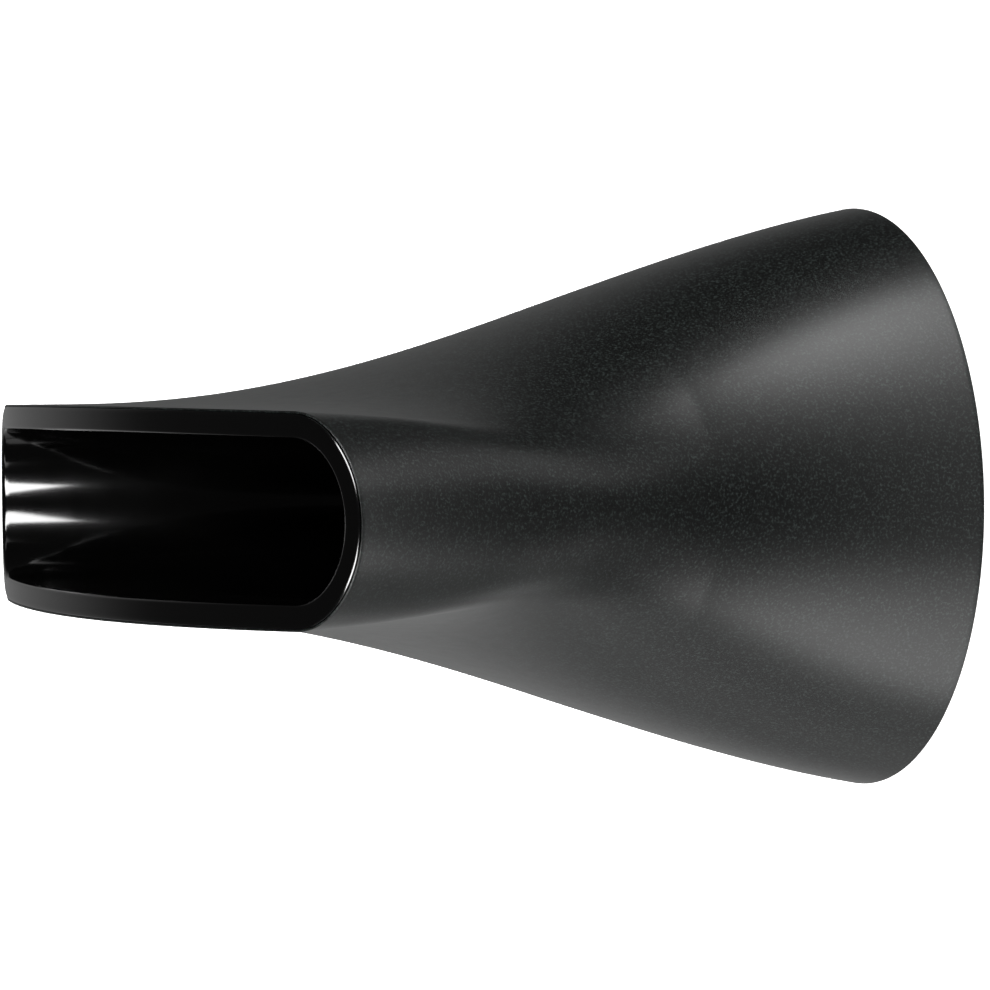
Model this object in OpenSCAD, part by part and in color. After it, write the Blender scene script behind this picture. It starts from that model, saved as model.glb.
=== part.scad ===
// Double-walled air concentrator nozzle for a hair dryer.
// It stands on its round base. +Z runs with the air towards the slot, X runs along the slot's
// long side and Y across it. The origin is the centre of the base rim.

/* [Mouth] */
// Width of the slot mouth over the shell
mouth_w = 88; // [82:1:92]
// Height of the slot mouth over the shell
mouth_h = 17.7; // [17:0.1:20]
// Distance that the two ends of the mouth sit behind its middle
mouth_sweep = 6.9; // [4:0.1:8]
// Bulge of each long side at its middle
mouth_crown = 0.35; // [0:0.05:0.6]
// Length of each rounded end
end_l = 8.4; // [7:0.1:8.8]
// Width of the glossy lip
lip_w = 1.75; // [1.6:0.05:2]

/* [Body] */
// Length from the base rim to the middle of the lip
body_l = 70; // [66:1:76]
// Diameter of the base rim
base_d = 50; // [50:0.5:54]
// Straight length of the long sides behind the lip
land_l = 4.2; // [2:0.1:6]
// Wall of the outer shell at the base
shell_wall = 1.8; // [1.6:0.1:2]
// Wall of the inner duct at the neck
duct_wall = 1.4; // [1.2:0.1:1.5]

/* [Coupling] */
// Diameter of the socket that slides over the dryer's outlet
socket_d = 39; // [38:0.5:39.5]
// Depth that the outlet enters the socket
socket_l = 7.6; // [7:0.1:8]
// Number of spring fingers
fingers = 6; // [4:1:8]
// Angle that one finger covers
finger_angle = 30; // [20:1:34]
// Width of the cut around a finger
finger_cut = 1; // [0.8:0.1:1.4]
// Diameter of the grip spring's wire
wire_d = 1; // [0.8:0.1:1.1]

/* [Hidden] */

// Loft between mouth and base: steps around a quarter, and rings along the length
end_steps = 7;
side_steps = 15;
quarter_steps = end_steps + side_steps;
end_share = end_steps / quarter_steps;
shell_rings = 20;
duct_rings = 14;
end_angle = 10; // part of the base circle that each rounded end runs into, above and below

// How each profile leaves the mouth and reaches the round end, in plan and then from the side.
// A slope of 1 is a straight line from end to end, and 0 runs along the air.
shell_slopes = [1.8, 0.3, 0, 0.775];
duct_slopes = [1.9, 0.3, 0, 1.4];

// Where shell and duct meet at the lip
shell_edge = 0.35;
edge_wall = 0.95;
edge_share = 0.05;
seat_gap = 0.08;
slot_inset = shell_edge + lip_w;
duct_thin_wall = 1.02;
sweep_r = ((mouth_w / 2)^2 + mouth_sweep^2) / (2 * mouth_sweep);

// Base of the shell: a recess for the collar's flange under a moulded shelf
base_round = 0.4;
recess_r = base_d / 2 - 2.5;
recess_l = 3.2;
shelf_r = recess_r - 1.2;
shelf_top = 4.4;
shelf_share = 0.92;

// Socket, seal and neck, one above the other
socket_r = socket_d / 2;
flange_r = recess_r - 0.1;
flange_z = 0.9;
collar_wall = 1.4;
collar_r = socket_r + collar_wall;
seal_z = flange_z + socket_l;
seal_h = 1.3;
seal_in_r = 17.7;
seal_seat_r = socket_r - 0.4;
seal_r = seal_seat_r - 0.05;
neck_r = 17.5;
neck_seat_z = seal_z + seal_h + 0.1;
neck_seat_r = neck_r + duct_wall + seat_gap;
neck_ring_r = 20.2;
neck_ring_top = neck_seat_z + 1.5;
neck_z = neck_seat_z + 0.1;
neck_top = neck_seat_z + 3;

// Spring fingers and the wire ring round them
finger_low = 3.4;
finger_high = seal_z - 0.3;
groove_depth = 0.5;
spring_z = 5.9;
wire_r = wire_d / 2;
spring_r = collar_r - groove_depth + wire_r + 0.02;
spring_gap = 24;

// Share of the way from mouth to base, easing between the two end slopes
function ease(u, start, end) =
    start * (u^3 - 2 * u^2 + u) + (3 * u^2 - 2 * u^3) + end * (u^3 - u^2);
function mix(a, b, share) = a + (b - a) * share;

// Height of the swept-back rim at distance x from the middle of the slot
function rim_z(x) = body_l - sweep_r + sqrt(sweep_r^2 - x^2);

// Share of the long side passed at place q, where q is 0 at the end's tip and 1 at mid-side
function side_share(q) = max(0, (q - end_share) / (1 - end_share));

// Quarter of the mouth's outline, set in from the shell's outer edge
function mouth_point(q, inset) =
    let (a = mouth_w / 2 - inset, b = mouth_h / 2 - inset, e = end_l - inset)
    let (turn = 90 * min(1, q / end_share))
    let (x = q < end_share ? a - e + e * cos(turn) : (a - e) * (1 - side_share(q)))
    [x, sin(turn) * (b - mouth_crown * (x / a)^2)];

// Angle on the base circle that place q runs down to
function base_turn(q) =
    q < end_share ? end_angle * q / end_share : mix(end_angle, 90, side_share(q));
function circle_point(q, r, z) = [r * cos(base_turn(q)), r * sin(base_turn(q)), z];

// Loft from the mouth outline to a circle of radius r at height low
function loft_point(q, share, inset, r, low, slopes) =
    let (m = mouth_point(q, inset), c = circle_point(q, r, low))
    let (land = land_l / (body_l - low))
    let (plan = ease(share, slopes[0], slopes[1]))
    let (rise = ease(max(0, (share - land) / (1 - land)), slopes[2], slopes[3]))
    [mix(m.x, c.x, plan), mix(m.y, c.y, rise), mix(rim_z(m.x), low, share)];

// Whole ring from the quarter's points, and a closed solid through a loop of rings
function whole(quarter) =
    let (n = len(quarter) - 1)
    concat(
        [for (i = [0 : n - 1]) quarter[i]],
        [for (i = [n : -1 : 1]) [-quarter[i].x, quarter[i].y, quarter[i].z]],
        [for (i = [0 : n - 1]) [-quarter[i].x, -quarter[i].y, quarter[i].z]],
        [for (i = [n : -1 : 1]) [quarter[i].x, -quarter[i].y, quarter[i].z]]);
function places() = [for (i = [0 : quarter_steps]) i / quarter_steps];
function circle_ring(r, z) = whole([for (q = places()) circle_point(q, r, z)]);

module ring_solid(rings) {
    n = len(rings[0]);
    m = len(rings);
    polyhedron(
        points = [for (ring = rings) each ring],
        faces = [for (j = [0 : m - 1], i = [0 : n - 1])
            let (k = (i + 1) % n, a = j * n, b = ((j + 1) % m) * n)
            each [[a + i, a + k, b + i], [a + k, b + k, b + i]]]);
}

// Outer shell: thin at the lip, thicker towards the base
function shell_inset(share) =
    share < edge_share
        ? mix(shell_edge, edge_wall, share / edge_share)
        : mix(edge_wall, shell_wall, (share - edge_share) / (1 - edge_share));
function shell_ring(share, inset) =
    whole([for (q = places())
        loft_point(q, share, inset, base_d / 2 - inset, 0, shell_slopes)]);

module outer_shell() {
    base_share = 1 - base_round / body_l;
    outside = concat(
        [for (i = [0 : shell_rings - 1]) shell_ring(i / shell_rings, 0)],
        [shell_ring(base_share, 0), circle_ring(base_d / 2 - base_round, 0)]);
    recess = [
        circle_ring(recess_r, 0),
        circle_ring(recess_r, recess_l),
        circle_ring(shelf_r, recess_l),
        circle_ring(shelf_r, shelf_top)];
    inner_shares = concat([for (i = [10 : -1 : 1]) shelf_share * i / 10], [edge_share, 0]);
    inside = [for (share = inner_shares) shell_ring(share, shell_inset(share))];
    color("#2b2b2d") ring_solid(concat(outside, recess, inside));
}

// Inner duct: the lip, a slot that turns into a round neck, and the neck's straight end
function duct_skin(share) =
    share < edge_share
        ? mix(lip_w - seat_gap, duct_thin_wall, share / edge_share)
        : mix(duct_thin_wall, duct_wall, (share - edge_share) / (1 - edge_share));
function duct_ring(share, skin) =
    whole([for (q = places())
        loft_point(q, share, slot_inset - skin, neck_r + skin, neck_top, duct_slopes)]);

module inner_duct() {
    outer_shares = concat([0, edge_share], [for (i = [1 : duct_rings]) i / duct_rings]);
    outside = [for (share = outer_shares) duct_ring(share, duct_skin(share))];
    neck = [circle_ring(neck_r + duct_wall, neck_z), circle_ring(neck_r, neck_z)];
    inside = [for (i = [duct_rings : -1 : 0]) duct_ring(i / duct_rings, 0)];
    color("#0c0c0d") ring_solid(concat(outside, neck, inside));
}

// Coupling collar: flange, socket with spring fingers, and the ring that holds the neck
module collar_body() {
    lead_in = 0.5;
    rotate_extrude($fn = 128)
        polygon([
            [socket_r + lead_in, flange_z],
            [flange_r, flange_z],
            [flange_r, recess_l],
            [collar_r, recess_l],
            [collar_r, seal_z],
            [neck_ring_r, seal_z + 0.7],
            [neck_ring_r, neck_ring_top],
            [neck_seat_r, neck_ring_top],
            [neck_seat_r, neck_seat_z],
            [seal_seat_r, neck_seat_z],
            [seal_seat_r, seal_z],
            [socket_r, seal_z],
            [socket_r, flange_z + lead_in]]);
}

module finger_window() {
    reach = collar_r + 1;
    half = finger_angle / 2;
    for (side = [-1, 1])
        rotate(side * half)
            translate([socket_r - 1, -finger_cut / 2, finger_low])
                cube([reach - socket_r + 1, finger_cut, finger_high - finger_low]);
    rotate(-half)
        translate([0, 0, finger_low])
            rotate_extrude(angle = finger_angle, $fn = 128)
                translate([socket_r - 1, 0])
                    square([reach - socket_r + 1, finger_cut]);
}

module coupling_collar() {
    color("#1c1c1e")
        difference() {
            collar_body();
            rotate_extrude($fn = 128)
                translate([collar_r - groove_depth, spring_z - wire_r - 0.1])
                    square([2, wire_d + 0.2]);
            for (i = [0 : fingers - 1])
                rotate(i * 360 / fingers)
                    finger_window();
        }
}

// Open ring of spring wire that holds the fingers in
module grip_spring() {
    color("#b4b6b9")
        translate([0, 0, spring_z])
            rotate(90 + spring_gap / 2)
                rotate_extrude(angle = 360 - spring_gap, $fn = 128)
                    translate([spring_r, 0])
                        circle(wire_r, $fn = 32);
}

// Flat silicone ring with rounded edges under the neck, where the outlet's end seats
module seal_ring() {
    edge = 0.3;
    flat_w = seal_r - seal_in_r - 2 * edge;
    flat_h = seal_h - 2 * edge;
    color("#3a3a3c")
        rotate_extrude($fn = 128)
            translate([seal_in_r + edge, seal_z + edge]) {
                translate([-edge, 0])
                    square([flat_w + 2 * edge, flat_h]);
                translate([0, -edge])
                    square([flat_w, seal_h]);
                for (x = [0, flat_w], y = [0, flat_h])
                    translate([x, y])
                        circle(edge, $fn = 32);
            }
}

outer_shell();
inner_duct();
coupling_collar();
grip_spring();
seal_ring();
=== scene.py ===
import math

import bmesh
import bpy
import numpy as np
from mathutils import Matrix, Vector


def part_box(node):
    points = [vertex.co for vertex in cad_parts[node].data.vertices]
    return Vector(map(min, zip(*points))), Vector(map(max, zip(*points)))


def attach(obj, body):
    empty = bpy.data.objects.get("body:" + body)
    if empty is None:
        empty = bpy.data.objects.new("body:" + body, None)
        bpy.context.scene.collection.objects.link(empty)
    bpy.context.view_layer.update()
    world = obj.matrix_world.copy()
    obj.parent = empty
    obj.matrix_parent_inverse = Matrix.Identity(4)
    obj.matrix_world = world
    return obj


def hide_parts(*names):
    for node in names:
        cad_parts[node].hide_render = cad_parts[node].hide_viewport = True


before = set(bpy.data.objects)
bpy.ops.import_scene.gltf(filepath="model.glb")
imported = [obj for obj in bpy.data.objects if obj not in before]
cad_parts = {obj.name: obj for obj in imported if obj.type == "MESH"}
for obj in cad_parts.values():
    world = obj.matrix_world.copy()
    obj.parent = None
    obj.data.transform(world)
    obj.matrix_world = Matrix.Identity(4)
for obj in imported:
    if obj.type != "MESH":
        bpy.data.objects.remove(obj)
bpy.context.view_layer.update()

MM = 0.001

# ---------------------------------------------------------------- driving sizes, in millimetres
shell_low, shell_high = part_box("outer_shell")
duct_low, duct_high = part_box("inner_duct")
MOUTH_W = (shell_high.x - shell_low.x) / MM
BODY_L = shell_high.z / MM
BASE_R = shell_high.y / MM
MOUTH_H = 17.7
MOUTH_SWEEP = 6.9                  # how far the rim drops back at both ends of the slot
MOUTH_CROWN = 0.35                 # how much the slot's long sides bow outwards
END_L = 8.4                        # depth of the slot's rounded ends
LAND_L = 4.2                       # stretch behind the mouth that keeps its height
SHELL_EDGE = 0.18                  # the part's is 0.35; edge and lip together are the same
LIP_W = 1.92                       # the part's is 1.75
SLOT_INSET = SHELL_EDGE + LIP_W
NECK_LOW = duct_low.z / MM
NECK_TOP = NECK_LOW + 2.9
NECK_R = 17.5
SWEEP_R = ((MOUTH_W / 2) ** 2 + MOUTH_SWEEP ** 2) / (2 * MOUTH_SWEEP)

# end slopes of the loft: plan at mouth and base, then rise at mouth and base
SHELL_SLOPES = (1.8, 0.3, 0.0, 0.775)
DUCT_SLOPES = (1.9, 0.3, 0.0, 1.4)
END_SHARE = 0.32                   # share of a quarter's points that lie on the rounded end
END_ANGLE = 10.0                   # where the rounded end stops on the base circle, in degrees
QUARTER_STEPS = 90
RING_POINTS = 384


# ---------------------------------------------------------------- the nozzle's loft
def ease(u, start, end):
    """Share of the way from mouth to base, easing between two end slopes."""
    return start * (u**3 - 2 * u**2 + u) + (3 * u**2 - 2 * u**3) + end * (u**3 - u**2)


def mix(a, b, share):
    return a + (b - a) * share


def rim_z(x):
    """Height of the swept-back rim at distance x from the middle of the slot."""
    return BODY_L - SWEEP_R + np.sqrt(SWEEP_R**2 - x**2)


def quarter(inset):
    """Mouth outline and base angles along a quarter, from the end's tip to mid-side."""
    q = np.linspace(0, 1, QUARTER_STEPS + 1)
    side = np.clip((q - END_SHARE) / (1 - END_SHARE), 0, 1)
    turn = np.radians(90) * np.minimum(1, q / END_SHARE)
    a, b, e = MOUTH_W / 2 - inset, MOUTH_H / 2 - inset, END_L - inset
    x = np.where(q < END_SHARE, a - e + e * np.cos(turn), (a - e) * (1 - side))
    y = np.sin(turn) * (b - MOUTH_CROWN * (x / a) ** 2)
    angle = np.where(q < END_SHARE, END_ANGLE * q / END_SHARE, mix(END_ANGLE, 90, side))
    return x, y, np.radians(angle)


def whole(x, y, z):
    """Closed ring from a quarter's points."""
    back = slice(-1, 0, -1)
    return np.concatenate([
        np.stack([x[:-1], y[:-1], z[:-1]], -1),
        np.stack([-x[back], y[back], z[back]], -1),
        np.stack([-x[:-1], -y[:-1], z[:-1]], -1),
        np.stack([x[back], -y[back], z[back]], -1),
    ])


def loft_ring(share, inset, radius, low, slopes):
    """One ring of the loft from the mouth outline to a circle at height low."""
    x, y, angle = quarter(inset)
    land = LAND_L / (BODY_L - low)
    plan = ease(share, slopes[0], slopes[1])
    rise = ease(max(0.0, (share - land) / (1 - land)), slopes[2], slopes[3])
    return whole(
        mix(x, radius * np.cos(angle), plan),
        mix(y, radius * np.sin(angle), rise),
        mix(rim_z(x), low, share))


def even_ring(ring, soft=0.0):
    """The ring with evenly spaced points, its creases softened over soft millimetres."""
    closed = np.vstack([ring, ring[:1]])
    step = np.linalg.norm(np.diff(closed, axis=0), axis=1)
    run = np.concatenate([[0], np.cumsum(step)])
    at = np.arange(RING_POINTS) * run[-1] / RING_POINTS
    points = np.stack([np.interp(at, run, closed[:, i]) for i in range(3)], -1)
    if soft <= 0:
        return points
    wave = np.fft.rfftfreq(RING_POINTS, run[-1] / RING_POINTS) * 2 * np.pi
    gain = np.exp(-0.5 * (wave * soft) ** 2)
    gain = 2 * gain - gain**2
    gain[1:] /= gain[1]            # keeps the ring's overall size
    return np.fft.irfft(np.fft.rfft(points, axis=0) * gain[:, None], RING_POINTS, axis=0)


def circle_ring(radius, z):
    """Round ring with as many points as a ring of the loft."""
    angle = quarter(0)[2]
    return even_ring(whole(radius * np.cos(angle), radius * np.sin(angle), np.full_like(angle, z)))


def ring_mesh(name, rings):
    """Closed solid through a loop of equal rings, with smooth faces."""
    points = np.concatenate(rings) * MM
    mesh = bpy.data.meshes.new(name)
    faces = []
    for j in range(len(rings)):
        a, b = j * RING_POINTS, ((j + 1) % len(rings)) * RING_POINTS
        for i in range(RING_POINTS):
            k = (i + 1) % RING_POINTS
            faces.append((a + i, b + i, b + k, a + k))
    mesh.from_pydata([tuple(p) for p in points], [], faces)
    bm = bmesh.new()
    bm.from_mesh(mesh)
    bmesh.ops.recalc_face_normals(bm, faces=bm.faces)
    bm.to_mesh(mesh)
    bm.free()
    mesh.shade_smooth()
    piece = bpy.data.objects.new(name, mesh)
    bpy.context.scene.collection.objects.link(piece)
    return piece


# softening of the creases where the flat faces meet the rounded ends
CREASE_SOFT_MOUTH = 0.1
CREASE_SOFT_MOST = 9.0
CREASE_SOFT_AT = 0.42              # share by which most of the softening has set in


def crease_softness(share):
    """Radius over which a ring's creases are softened, growing from mouth to base."""
    grown = 1 - math.exp(-((share / CREASE_SOFT_AT) ** 2))
    return CREASE_SOFT_MOUTH + CREASE_SOFT_MOST * grown


# ---------------------------------------------------------------- outer shell
SHELL_WALL = 1.8
EDGE_WALL = 0.95                   # wall just behind the mouth
EDGE_SHARE = 0.05                  # share at which the wall has grown to EDGE_WALL
EDGE_ROUND = 0.08
EDGE_DROP = 0.12                   # the shell's edge lies this far below the lip's face
EDGE_TUCK = 0.01
EDGE_BEVEL = 0.05
BASE_ROUND = 0.15
RECESS_R = BASE_R - 2.5
SHELF_R = RECESS_R - 1.2
RECESS_L = 3.2
SHELF_TOP = 4.4
CORNER = 0.12                      # bevel of the corners inside the base
SIDE_RINGS = 150
SIDE_GATHER = 1.15                 # above 1, the rings gather towards the mouth
MOUTH_GAP = 0.004                  # shares left free for the two rounded edges
BASE_GAP = 0.002
INSIDE_END = 0.92                  # share at which the inside meets the shelf

VALLEY_DEPTH = 0.8
VALLEY_END = 0.6                   # share at which the valley has faded out
VALLEY_NOSE = 2.5                  # reach of the valley towards the rounded end
VALLEY_FACE = 3.5                  # and towards the flat face
VALLEY_SPREAD = 8.0
VALLEY_SHARP = 0.06
VALLEY_SOFTEN = 25.0


def shell_inset(share):
    """Wall thickness of the shell at a share of the way from mouth to base."""
    if share < EDGE_SHARE:
        return mix(SHELL_EDGE, EDGE_WALL, share / EDGE_SHARE)
    return mix(EDGE_WALL, SHELL_WALL, (share - EDGE_SHARE) / (1 - EDGE_SHARE))


def shell_ring(share, inset):
    ring = loft_ring(share, inset, BASE_R - inset, 0.0, SHELL_SLOPES)
    return even_ring(ring, crease_softness(share))


def with_valleys(ring, share):
    """The ring with a valley pressed in where the flat faces meet the rounded ends."""
    if share >= VALLEY_END:
        return ring
    depth = VALLEY_DEPTH * math.sin(math.pi * share / VALLEY_END)
    x, y = ring[:, 0], ring[:, 1]
    plan = ease(share, *SHELL_SLOPES[:2])
    crease_x = mix(MOUTH_W / 2 - END_L, BASE_R * math.cos(math.radians(END_ANGLE)), plan)
    away = np.abs(x) - crease_x
    reach = np.where(away > 0, VALLEY_NOSE, VALLEY_FACE) + VALLEY_SPREAD * share
    sharp = VALLEY_SHARP + VALLEY_SOFTEN * share**2
    press = depth * np.exp(-(np.sqrt(away**2 + sharp**2) - sharp) / reach)
    ring[:, 1] = y - np.sign(y) * press * np.clip(np.abs(y) / (MOUTH_H / 4), 0, 1)
    return ring


def shell_outside():
    """Rings from the rounded front edge down the outside to the rounded base edge."""
    rings = []
    for turn in np.radians(np.linspace(90, 0, 6)):
        depth = EDGE_DROP + EDGE_ROUND * (1 - math.sin(turn))
        rings.append(shell_ring(depth / BODY_L, EDGE_ROUND * (1 - math.cos(turn))))
    last = 1 - BASE_ROUND / BODY_L - BASE_GAP
    for share in np.linspace(0, 1, SIDE_RINGS) ** SIDE_GATHER:
        if MOUTH_GAP < share < last:
            rings.append(with_valleys(shell_ring(share, 0.0), share))
    for turn in np.radians(np.linspace(0, 90, 8)):
        share = 1 - BASE_ROUND * (1 - math.sin(turn)) / BODY_L
        rings.append(shell_ring(share, BASE_ROUND * (1 - math.cos(turn))))
    return rings


def base_recess():
    """Rings of the stepped recess in the base, with bevelled corners."""
    steps = (
        (RECESS_R + CORNER, 0.0), (RECESS_R, CORNER),
        (RECESS_R, RECESS_L - CORNER), (RECESS_R - CORNER, RECESS_L),
        (SHELF_R + CORNER, RECESS_L), (SHELF_R, RECESS_L + CORNER),
        (SHELF_R, SHELF_TOP - CORNER), (SHELF_R + CORNER, SHELF_TOP))
    return [circle_ring(radius, z) for radius, z in steps]


def make_shell():
    rings = shell_outside() + base_recess()
    up_inside = [*np.linspace(INSIDE_END, EDGE_SHARE, 40), 0.035, 0.02, 0.008]
    rings += [shell_ring(share, shell_inset(share)) for share in up_inside]
    rings.append(shell_ring((EDGE_DROP + EDGE_BEVEL) / BODY_L, SHELL_EDGE - EDGE_TUCK))
    rings.append(shell_ring(EDGE_DROP / BODY_L, SHELL_EDGE - EDGE_BEVEL))
    return ring_mesh("shell_casing", rings)


# ---------------------------------------------------------------- inner duct
SEAT_GAP = 0.015                   # between lip and shell
DUCT_THIN = 1.02                   # wall just behind the lip
DUCT_WALL = 1.4
LIP_ROUND = 1.0                    # radius of the lip's shoulder
LIP_TURN = 27.0                    # how far the shoulder turns down, in degrees
INNER_ROUND = 0.3
NECK_CORNER = 0.2
INSIDE_GATHER = 1.3


def duct_skin(share):
    """Wall thickness of the duct at a share of the way from mouth to neck."""
    if share < EDGE_SHARE:
        return mix(LIP_W - SEAT_GAP, DUCT_THIN, share / EDGE_SHARE)
    return mix(DUCT_THIN, DUCT_WALL, (share - EDGE_SHARE) / (1 - EDGE_SHARE))


def duct_ring(share, skin):
    ring = loft_ring(share, SLOT_INSET - skin, NECK_R + skin, NECK_TOP, DUCT_SLOPES)
    return even_ring(ring, crease_softness(share))


def lip_ring(depth, skin):
    """Ring of the duct at a depth in millimetres below the lip's face."""
    return duct_ring(depth / (BODY_L - NECK_TOP), skin)


def lip_rings():
    """Rounded shoulder beside the shell's edge, the flat band, then the rounded inner edge."""
    rings = []
    full_turn = math.radians(LIP_TURN)
    band_outside = LIP_W - SEAT_GAP - LIP_ROUND * math.sin(full_turn)
    for turn in np.linspace(full_turn, 0, 9):
        rings.append(lip_ring(
            LIP_ROUND * (1 - math.cos(turn)), band_outside + LIP_ROUND * math.sin(turn)))
    rings += [lip_ring(0.0, skin) for skin in np.linspace(band_outside, INNER_ROUND, 5)[1:-1]]
    for turn in np.radians(np.linspace(90, 0, 13)):
        rings.append(lip_ring(
            INNER_ROUND * (1 - math.sin(turn)), INNER_ROUND * (1 - math.cos(turn))))
    return rings


def neck_rings():
    """Rings of the neck's low end, with bevelled corners."""
    inside, outside = NECK_R, NECK_R + DUCT_WALL
    steps = (
        (inside, NECK_LOW + NECK_CORNER), (inside + NECK_CORNER, NECK_LOW),
        (outside - NECK_CORNER, NECK_LOW), (outside, NECK_LOW + NECK_CORNER))
    return [circle_ring(radius, z) for radius, z in steps]


def make_duct():
    rings = lip_rings()
    start = INNER_ROUND / (BODY_L - NECK_TOP)
    down_inside = start + (1 - start) * np.linspace(0, 1, 100) ** INSIDE_GATHER
    rings += [duct_ring(share, 0.0) for share in down_inside[2:]]
    rings += neck_rings()
    up_outside = [*np.linspace(1, EDGE_SHARE, 50), 0.03, 0.01]
    rings += [duct_ring(share, duct_skin(share)) for share in up_outside]
    return ring_mesh("duct_lining", rings)


# ---------------------------------------------------------------- materials
def new_material(name):
    """New material, with its tree and its shader."""
    material = bpy.data.materials.new(name)
    material.use_nodes = True
    tree = material.node_tree
    return material, tree, tree.nodes["Principled BSDF"]


def node(tree, kind, **inputs):
    """New node with the given input values; an underscore stands for a space."""
    made = tree.nodes.new(kind)
    for key, value in inputs.items():
        made.inputs[key.replace("_", " ")].default_value = value
    return made


def noise(tree, **inputs):
    """Noise over the piece's own coordinates."""
    place = tree.nodes.new("ShaderNodeTexCoord")
    made = node(tree, "ShaderNodeTexNoise", **inputs)
    tree.links.new(place.outputs["Object"], made.inputs["Vector"])
    return made.outputs["Fac"]


def raise_by(tree, height, strength, distance):
    """Bump the shader's surface by a height, over a distance in metres."""
    bump = node(tree, "ShaderNodeBump", Strength=strength, Distance=distance)
    tree.links.new(height, bump.inputs["Height"])
    tree.links.new(bump.outputs["Normal"], tree.nodes["Principled BSDF"].inputs["Normal"])


def roughen_by(tree, value, low, high):
    """Let the shader's roughness run from low to high with a value."""
    rough = node(tree, "ShaderNodeMapRange", To_Min=low, To_Max=high)
    tree.links.new(value, rough.inputs["Value"])
    tree.links.new(rough.outputs["Result"], tree.nodes["Principled BSDF"].inputs["Roughness"])


def matt_painted_glint():
    """Spark-eroded matt black: a fine pitted grain in the bump, and pale flecks in the base colour
    where the pits rise highest, which are painted glints.
    """
    material, tree, shader = new_material("matt_painted_glint_black")
    pits = noise(tree, Scale=4600.0, Detail=2.0, Roughness=0.6)
    raise_by(tree, pits, 0.35, 0.000014)
    roughen_by(tree, noise(tree, Scale=700.0, Detail=3.0), 0.3, 0.35)
    # pale base colour on the highest pits: painted glints, standing in for light caught by the
    # grain
    painted_glint = node(tree, "ShaderNodeMapRange", From_Min=0.51, From_Max=0.72)
    tree.links.new(pits, painted_glint.inputs["Value"])
    colour = tree.nodes.new("ShaderNodeMix")
    colour.data_type = "RGBA"
    colour.inputs["A"].default_value = (0.0004, 0.0007, 0.0006, 1)
    colour.inputs["B"].default_value = (0.024, 0.031, 0.029, 1)
    tree.links.new(painted_glint.outputs["Result"], colour.inputs["Factor"])
    tree.links.new(colour.outputs["Result"], shader.inputs["Base Color"])
    return material


def polished_black():
    """Polished black moulding with very faint waviness."""
    material, tree, shader = new_material("polished_black")
    raise_by(tree, noise(tree, Scale=120.0, Detail=2.0), 0.08, 0.0001)
    roughen_by(tree, noise(tree, Scale=400.0, Detail=4.0), 0.08, 0.14)
    shader.inputs["Base Color"].default_value = (0.0008, 0.0008, 0.0008, 1)
    return material


def satin_black():
    """Satin black moulding with a fine grain."""
    material, tree, shader = new_material("satin_black")
    grain = noise(tree, Scale=3000.0, Detail=4.0)
    raise_by(tree, grain, 0.15, 0.00003)
    roughen_by(tree, grain, 0.38, 0.482)
    shader.inputs["Base Color"].default_value = (0.014, 0.014, 0.015, 1)
    return material


def drawn_wire():
    """Steel spring wire with an uneven sheen."""
    material, tree, shader = new_material("drawn_wire")
    roughen_by(tree, noise(tree, Scale=2500.0, Detail=3.0), 0.2, 0.38)
    shader.inputs["Base Color"].default_value = (0.56, 0.57, 0.58, 1)
    shader.inputs["Metallic"].default_value = 1.0
    return material


def silicone():
    """Dark grey silicone."""
    material, tree, shader = new_material("silicone_grey")
    raise_by(tree, noise(tree, Scale=2000.0, Detail=3.0), 0.1, 0.00005)
    shader.inputs["Base Color"].default_value = (0.045, 0.045, 0.048, 1)
    shader.inputs["Roughness"].default_value = 0.55
    return material


def paint(piece, material):
    if not piece.data.materials:
        piece.data.materials.append(material)
    for i in range(len(piece.data.materials)):
        piece.data.materials[i] = material


# ---------------------------------------------------------------- camera
VIEW_SIDE = math.radians(22.5)     # towards the mouth from straight side-on
VIEW_UP = math.radians(1.47)
VIEW_ROLL = math.radians(-0.62)
VIEW_DISTANCE = 0.5613
FOCAL_PIXELS = 6631.0
FRAME_PIXELS = 990
SENSOR = 36.0
TARGET = Vector((0, 0.00076, 0.03376))


def make_camera():
    """Camera at the nozzle's side, turned so that the nozzle lies along the picture."""
    back = Vector((
        math.cos(VIEW_SIDE) * math.cos(VIEW_UP), math.sin(VIEW_UP),
        math.sin(VIEW_SIDE) * math.cos(VIEW_UP)))
    right = Vector((math.sin(VIEW_SIDE), 0, -math.cos(VIEW_SIDE)))
    up = back.cross(right)
    turned_right = math.cos(VIEW_ROLL) * right + math.sin(VIEW_ROLL) * up
    turned_up = math.cos(VIEW_ROLL) * up - math.sin(VIEW_ROLL) * right
    data = bpy.data.cameras.new("camera")
    data.sensor_width = SENSOR
    data.lens = FOCAL_PIXELS / FRAME_PIXELS * SENSOR
    data.clip_start = 0.01
    data.clip_end = 50
    camera = bpy.data.objects.new("camera", data)
    bpy.context.scene.collection.objects.link(camera)
    turn = Matrix((turned_right, turned_up, back)).transposed().to_4x4()
    camera.matrix_world = Matrix.Translation(TARGET + VIEW_DISTANCE * back) @ turn
    bpy.context.scene.camera = camera


# ---------------------------------------------------------------- stage, lights and world
FLOOR_HALF = 6.0
SURROUND_R = 9.0


def stage_white():
    """Plain white that needs no light of its own."""
    material, tree, shader = new_material("pale_floor")
    shader.inputs["Base Color"].default_value = (0.9, 0.9, 0.9, 1)
    shader.inputs["Roughness"].default_value = 0.9
    shader.inputs["Emission Color"].default_value = (1, 1, 1, 1)
    shader.inputs["Emission Strength"].default_value = 1.0
    return material


def make_backdrop(name, mesh, material):
    """Stage piece that only the camera sees, so that it neither lights nor shades the nozzle."""
    mesh.materials.append(material)
    backdrop = bpy.data.objects.new(name, mesh)
    bpy.context.scene.collection.objects.link(backdrop)
    backdrop.visible_glossy = False
    backdrop.visible_diffuse = False
    backdrop.visible_shadow = False


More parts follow.
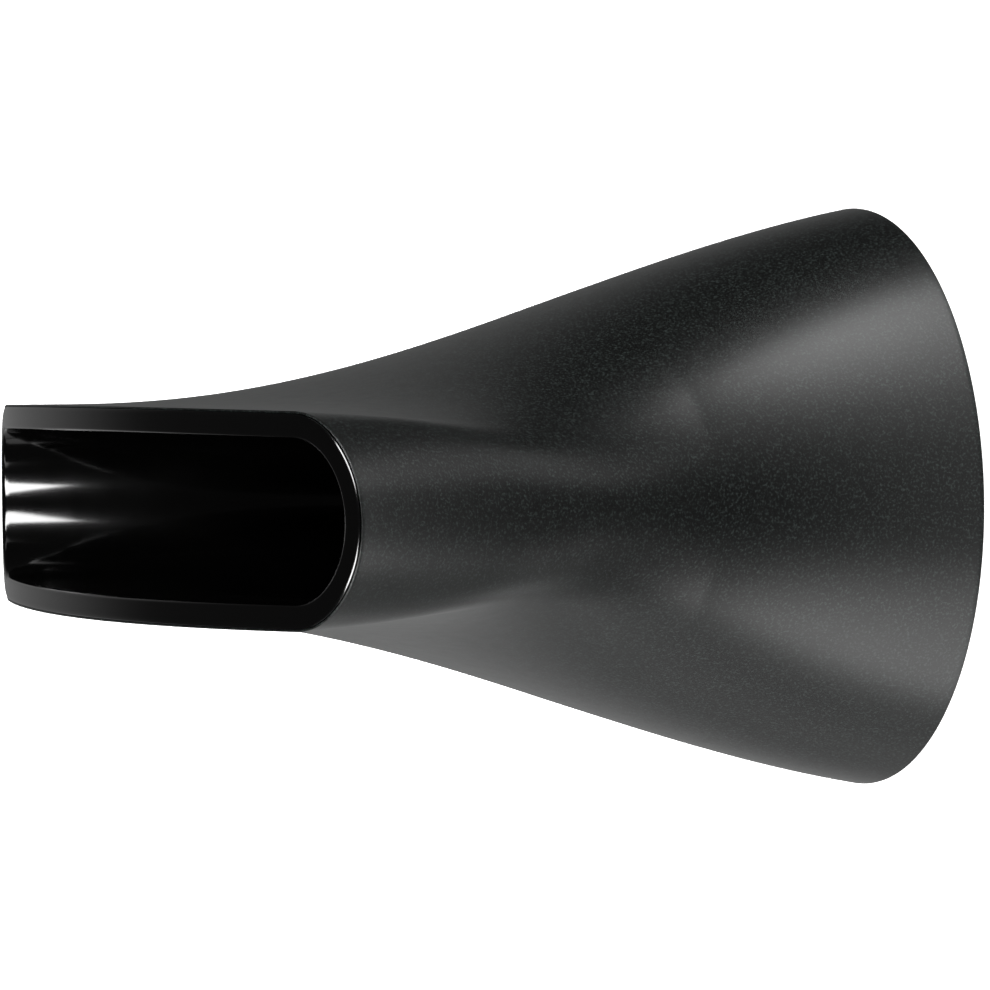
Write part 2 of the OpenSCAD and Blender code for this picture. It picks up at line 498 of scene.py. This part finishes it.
def make_stage():
    """Plain pale floor, with a dome of the same white round it."""
    material = stage_white()
    h = FLOOR_HALF
    floor = bpy.data.meshes.new("floor")
    floor.from_pydata([(-h, -h, 0), (h, -h, 0), (h, h, 0), (-h, h, 0)], [], [(0, 1, 2, 3)])
    make_backdrop("floor", floor, material)
    dome = bpy.data.meshes.new("surround")
    bm = bmesh.new()
    bmesh.ops.create_uvsphere(bm, u_segments=48, v_segments=24, radius=SURROUND_R)
    bm.to_mesh(dome)
    bm.free()
    make_backdrop("surround", dome, material)


def softbox(name, azimuth, latitude, across, along, radiance, distance=0.6):
    """Soft rectangular light round the nozzle.

    Angles are in degrees, seen from the nozzle: azimuth from +X towards +Y, latitude up
    from level, and the light's width and height.
    """
    turn, rise = math.radians(azimuth), math.radians(latitude)
    away = Vector((math.cos(turn) * math.cos(rise), math.sin(turn) * math.cos(rise),
                   math.sin(rise)))
    data = bpy.data.lights.new(name, "AREA")
    data.shape = "RECTANGLE"
    data.size = 2 * distance * math.tan(math.radians(across / 2))
    data.size_y = 2 * distance * math.tan(math.radians(along / 2))
    data.energy = 4 * radiance * data.size * data.size_y
    light = bpy.data.objects.new(name, data)
    bpy.context.scene.collection.objects.link(light)
    light.location = TARGET + away * distance
    light.rotation_euler = away.to_track_quat("Z", "Y").to_euler()
    light.visible_camera = False


def make_lights():
    # the two broad highlights on the cone
    softbox("softbox_above", 60, -13, 54, 23, 6.4)
    softbox("softbox_below", -55, -6, 56, 56, 2.75)
    # the faces between and beside them
    softbox("softbox_front", 5, -27, 60, 20, 0.8)
    softbox("softbox_low", 86, -58, 34, 20, 0.42)
    softbox("softbox_base", 188, -64, 56, 50, 4.0)
    softbox("softbox_fill", -146, -10, 40, 44, 0.23)
    softbox("softbox_side", -106, -10, 38, 44, 0.4)
    # thin lights that draw the lines on the lip and the patches on the slot's far wall
    softbox("strip_top", 106, 44, 28, 8, 0.8)
    softbox("strip_low", -106, 44, 28, 8, 1.5)
    softbox("strip_above", 66, 65, 25, 13, 21)
    softbox("strip_below", -60, 67, 20, 14, 22)


GLOW_FROM = (-1, 0, -0.2)          # the glow lies behind the nozzle
GLOW_REACH = 45                    # degrees from its middle to its edge
GLOW_LOW = 0.03
GLOW_HIGH = 0.22


def make_world():
    """Dark studio with a soft glow on one side."""
    world = bpy.data.worlds.new("studio")
    bpy.context.scene.world = world
    world.use_nodes = True
    tree = world.node_tree
    place = tree.nodes.new("ShaderNodeTexCoord")
    towards = tree.nodes.new("ShaderNodeVectorMath")
    towards.operation = "DOT_PRODUCT"
    towards.inputs[1].default_value = Vector(GLOW_FROM).normalized()
    tree.links.new(place.outputs["Generated"], towards.inputs[0])
    edge = math.cos(math.radians(GLOW_REACH))
    glow = node(tree, "ShaderNodeMapRange", From_Min=edge, From_Max=1.0,
                To_Min=GLOW_LOW, To_Max=GLOW_HIGH)
    glow.interpolation_type = "SMOOTHERSTEP"
    tree.links.new(towards.outputs["Value"], glow.inputs["Value"])
    back = tree.nodes["Background"]
    back.inputs["Color"].default_value = (1, 1, 1, 1)
    tree.links.new(glow.outputs["Result"], back.inputs["Strength"])


# ---------------------------------------------------------------- the scene
bpy.context.scene.view_settings.view_transform = "Standard"

make_camera()
make_stage()
make_lights()
make_world()

shell = make_shell()
paint(shell, matt_painted_glint())
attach(shell, "root")
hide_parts("outer_shell")

duct = make_duct()
paint(duct, polished_black())
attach(duct, "root")
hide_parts("inner_duct")

paint(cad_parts["coupling_collar"], satin_black())
paint(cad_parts["grip_spring"], drawn_wire())
paint(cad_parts["seal_ring"], silicone())
